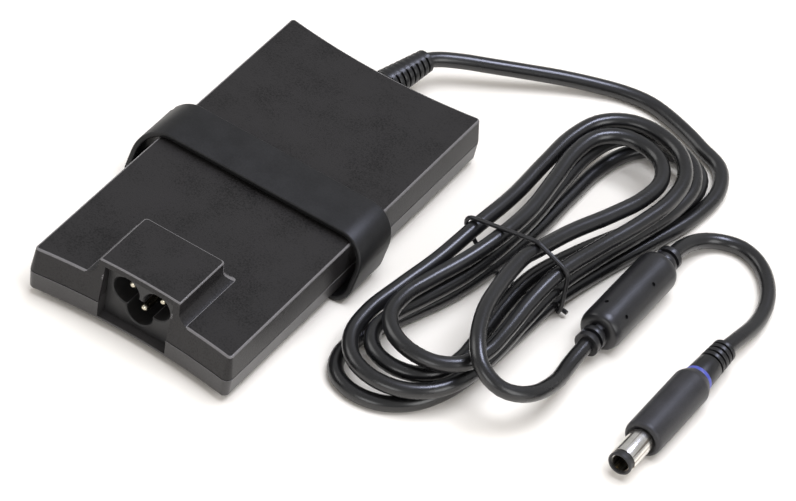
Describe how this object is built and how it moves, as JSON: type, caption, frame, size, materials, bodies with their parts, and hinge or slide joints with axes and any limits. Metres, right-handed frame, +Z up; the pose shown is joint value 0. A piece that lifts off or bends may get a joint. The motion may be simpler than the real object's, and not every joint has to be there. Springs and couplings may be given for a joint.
{
  "type": "laptop power adapter",
  "caption": "Slim laptop power adapter with a mains inlet, a sliding cord strap, a tied output cord, a ferrite choke and a barrel plug.",
  "frame": {"origin": "under the centre of the case, on the surface that the feet stand on", "axes": "+X across the case towards the coiled cord, +Y along the case from the mains inlet to the output cord, +Z up"},
  "size_m": [0.1727, 0.1822, 0.0226],
  "materials": {
    "top_case": "fine texture",
    "base_case": "fine texture",
    "foot": "matt",
    "inlet": "satin",
    "contact": "nickel plated",
    "strap": "satin",
    "sheet": "smooth",
    "board": "smooth",
    "spreader": "satin",
    "ferrite": "matt",
    "winding": "taped",
    "capacitor": "sleeved",
    "fuse": "smooth",
    "film_box": "smooth",
    "ceramic_disc": "dipped",
    "copper_wire": "enamelled",
    "package": "moulded",
    "optocoupler": "moulded",
    "header": "moulded",
    "cord": "satin",
    "relief": "satin",
    "tie": "satin",
    "choke": "satin",
    "plug_moulding": "satin",
    "light_ring": "clear tinted",
    "led": "clear",
    "plug_metal": "bright nickel",
    "nose": "moulded",
    "centre_pin": "plated"
  },
  "bodies": {
    "adapter": {"base_shell": "base_case", "top_shell": "top_case", "foot_front_left": "foot", "foot_front_right": "foot", "foot_rear_left": "foot", "foot_rear_right": "foot", "ac_inlet_block": "inlet", "line_contact": "contact", "neutral_contact": "contact", "earth_contact": "contact", "insulating_sheet": "sheet", "circuit_board": "board", "heat_spreader": "spreader", "transformer_core": "ferrite", "transformer_winding": "winding", "bulk_capacitor_a": "capacitor", "bulk_capacitor_b": "capacitor", "output_capacitor_a": "capacitor", "output_capacitor_b": "capacitor", "mains_fuse": "fuse", "x_capacitor": "film_box", "y_capacitor": "ceramic_disc", "line_filter": "copper_wire", "bridge_rectifier": "package", "switching_transistor": "package", "output_rectifier": "package", "optocoupler": "optocoupler", "control_chip": "package", "output_inductor": "copper_wire", "cord_header": "header", "inner_lead": "cord", "strain_relief": "relief", "cord_lead": "cord", "cord_hank": "cord", "cord_loop": "cord", "cord_tail": "cord", "twist_tie": "tie", "choke_cover": "choke", "ferrite_core": "ferrite", "plug_body": "plug_moulding", "plug_light_ring": "light_ring", "plug_led": "led", "plug_relief": "relief", "plug_barrel": "plug_metal", "plug_nose": "nose", "plug_socket": "plug_metal", "plug_pin": "centre_pin"},
    "strap": {"strap": "strap"}
  },
  "joints": [
    {"name": "strap_slide", "type": "slide", "parent": "adapter", "child": "strap", "axis": [0, 1, 0], "range_m": [-0.032, 0.042]}
  ]
}
